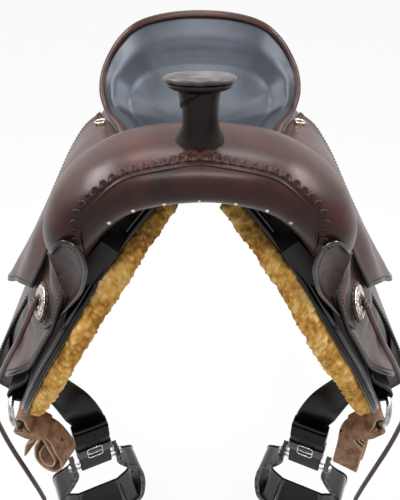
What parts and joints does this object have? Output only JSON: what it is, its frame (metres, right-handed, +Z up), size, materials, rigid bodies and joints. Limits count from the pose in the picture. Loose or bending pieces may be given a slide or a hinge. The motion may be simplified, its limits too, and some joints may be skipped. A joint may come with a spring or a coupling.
{
  "type": "western trail saddle",
  "caption": "Western trail saddle with a wrapped horn, padded seat, fleece-lined skirts, strings, tied-up cinch straps, swinging fenders and turned leather-covered stirrups.",
  "frame": {"origin": "on the horse's back, midway between the tree bars and below the fork's centre", "axes": "+Z up, -Y towards the horse's head, +X to the horse's near (left) side"},
  "size_m": [0.6046, 0.593, 0.9866],
  "materials": {
    "brown_leather": "smooth, oiled, slightly glossy",
    "dark_leather": "satin with dressed edges",
    "black_leather": "smooth, semi-gloss",
    "sheepskin": "curly wool pile",
    "rawhide_tree": "rawhide covered",
    "stainless_steel": "polished",
    "nickel_silver": "bright, engraved",
    "tan_roughout": "roughout, matte",
    "brass": "polished",
    "black_rubber": "matte"
  },
  "bodies": {
    "saddle": {"fork_cover": "brown_leather", "gullet_lining": "dark_leather", "tree_fork": "rawhide_tree", "tree_cantle": "rawhide_tree", "cantle_back": "brown_leather", "cantle_binding": "brown_leather", "ground_seat": "dark_leather", "seat_pad": "black_leather", "horn_core": "stainless_steel", "horn_wrap": "brown_leather", "horn_cap_edge": "dark_leather", "horn_cap": "brown_leather", "skirt_near": "dark_leather", "skirt_off": "dark_leather", "fleece_near": "sheepskin", "fleece_off": "sheepskin", "tree_bar_near": "rawhide_tree", "tree_bar_off": "rawhide_tree", "rigging_panel_near": "dark_leather", "rigging_panel_off": "dark_leather", "seat_jockey_near": "brown_leather", "seat_jockey_off": "brown_leather", "front_jockey_near": "brown_leather", "front_jockey_off": "brown_leather", "rear_jockey_near": "brown_leather", "rear_jockey_off": "brown_leather", "rosette_near": "brown_leather", "rosette_off": "brown_leather", "concho_near": "nickel_silver", "concho_off": "nickel_silver", "saddle_string_near": "brown_leather", "saddle_string_off": "brown_leather"},
    "hang_near": {"stirrup_leather_near": "dark_leather", "fender_near": "brown_leather", "buckle_plate_near": "stainless_steel", "hobble_strap_near": "black_leather", "hobble_buckle_near": "stainless_steel", "bolt_roller_near": "stainless_steel"},
    "sleeve_near": {"buckle_sleeve_near": "stainless_steel"},
    "stirrup_near": {"stirrup_near": "black_leather", "stirrup_bolt_near": "stainless_steel", "stirrup_tread_near": "black_rubber"},
    "dee_near": {"front_dee_near": "stainless_steel"},
    "tie_dee_near": {"tie_dee_near": "brass"},
    "hang_off": {"stirrup_leather_off": "dark_leather", "fender_off": "brown_leather", "buckle_plate_off": "stainless_steel", "hobble_strap_off": "black_leather", "hobble_buckle_off": "stainless_steel", "bolt_roller_off": "stainless_steel"},
    "sleeve_off": {"buckle_sleeve_off": "stainless_steel"},
    "stirrup_off": {"stirrup_off": "black_leather", "stirrup_bolt_off": "stainless_steel", "stirrup_tread_off": "black_rubber"},
    "dee_off": {"front_dee_off": "stainless_steel"},
    "tie_dee_off": {"tie_dee_off": "brass"},
    "latigo": {"latigo": "tan_roughout", "latigo_keeper": "tan_roughout"},
    "off_billet": {"off_billet": "tan_roughout", "billet_keeper": "tan_roughout"}
  },
  "joints": [
    {"name": "fender_swing_near", "type": "hinge", "parent": "saddle", "child": "hang_near", "pos_m": [0.14229, 0.17, -0.0167], "axis": [0.8001, 0, 0.5999], "range_deg": [-5, 25]},
    {"name": "sleeve_slide_near", "type": "slide", "parent": "hang_near", "child": "sleeve_near", "axis": [0, 0, -1], "range_m": [0, 0.016]},
    {"name": "stirrup_swing_near", "type": "hinge", "parent": "hang_near", "child": "stirrup_near", "pos_m": [0.205, 0.17, -0.618], "axis": [0.9063, -0.4226, 0], "range_deg": [-50, 50]},
    {"name": "dee_flip_near", "type": "hinge", "parent": "saddle", "child": "dee_near", "pos_m": [0.26849, 0.062, -0.27884], "axis": [0, -1, 0], "range_deg": [0, 14]},
    {"name": "tie_dee_flip_near", "type": "hinge", "parent": "saddle", "child": "tie_dee_near", "pos_m": [0.1353, 0.26093, 0.04819], "axis": [0.0187, -0.9909, 0.1333], "range_deg": [0, 60]},
    {"name": "fender_swing_off", "type": "hinge", "parent": "saddle", "child": "hang_off", "pos_m": [-0.14229, 0.17, -0.0167], "axis": [0.8001, 0, -0.5999], "range_deg": [-5, 25]},
    {"name": "sleeve_slide_off", "type": "slide", "parent": "hang_off", "child": "sleeve_off", "axis": [0, 0, -1], "range_m": [0, 0.016]},
    {"name": "stirrup_swing_off", "type": "hinge", "parent": "hang_off", "child": "stirrup_off", "pos_m": [-0.205, 0.17, -0.618], "axis": [-0.9063, -0.4226, 0], "range_deg": [-50, 50]},
    {"name": "dee_flip_off", "type": "hinge", "parent": "saddle", "child": "dee_off", "pos_m": [-0.26849, 0.062, -0.27884], "axis": [0, 1, 0], "range_deg": [0, 14]},
    {"name": "tie_dee_flip_off", "type": "hinge", "parent": "saddle", "child": "tie_dee_off", "pos_m": [-0.1353, 0.26093, 0.04819], "axis": [0.0187, 0.9909, -0.1333], "range_deg": [0, 60]},
    {"name": "latigo_swing", "type": "hinge", "parent": "dee_near", "child": "latigo", "pos_m": [0.26849, 0.062, -0.34084], "axis": [0, -1, 0], "range_deg": [-6, 8]},
    {"name": "billet_swing", "type": "hinge", "parent": "dee_off", "child": "off_billet", "pos_m": [-0.26849, 0.062, -0.34084], "axis": [0, 1, 0], "range_deg": [-6, 8]}
  ]
}
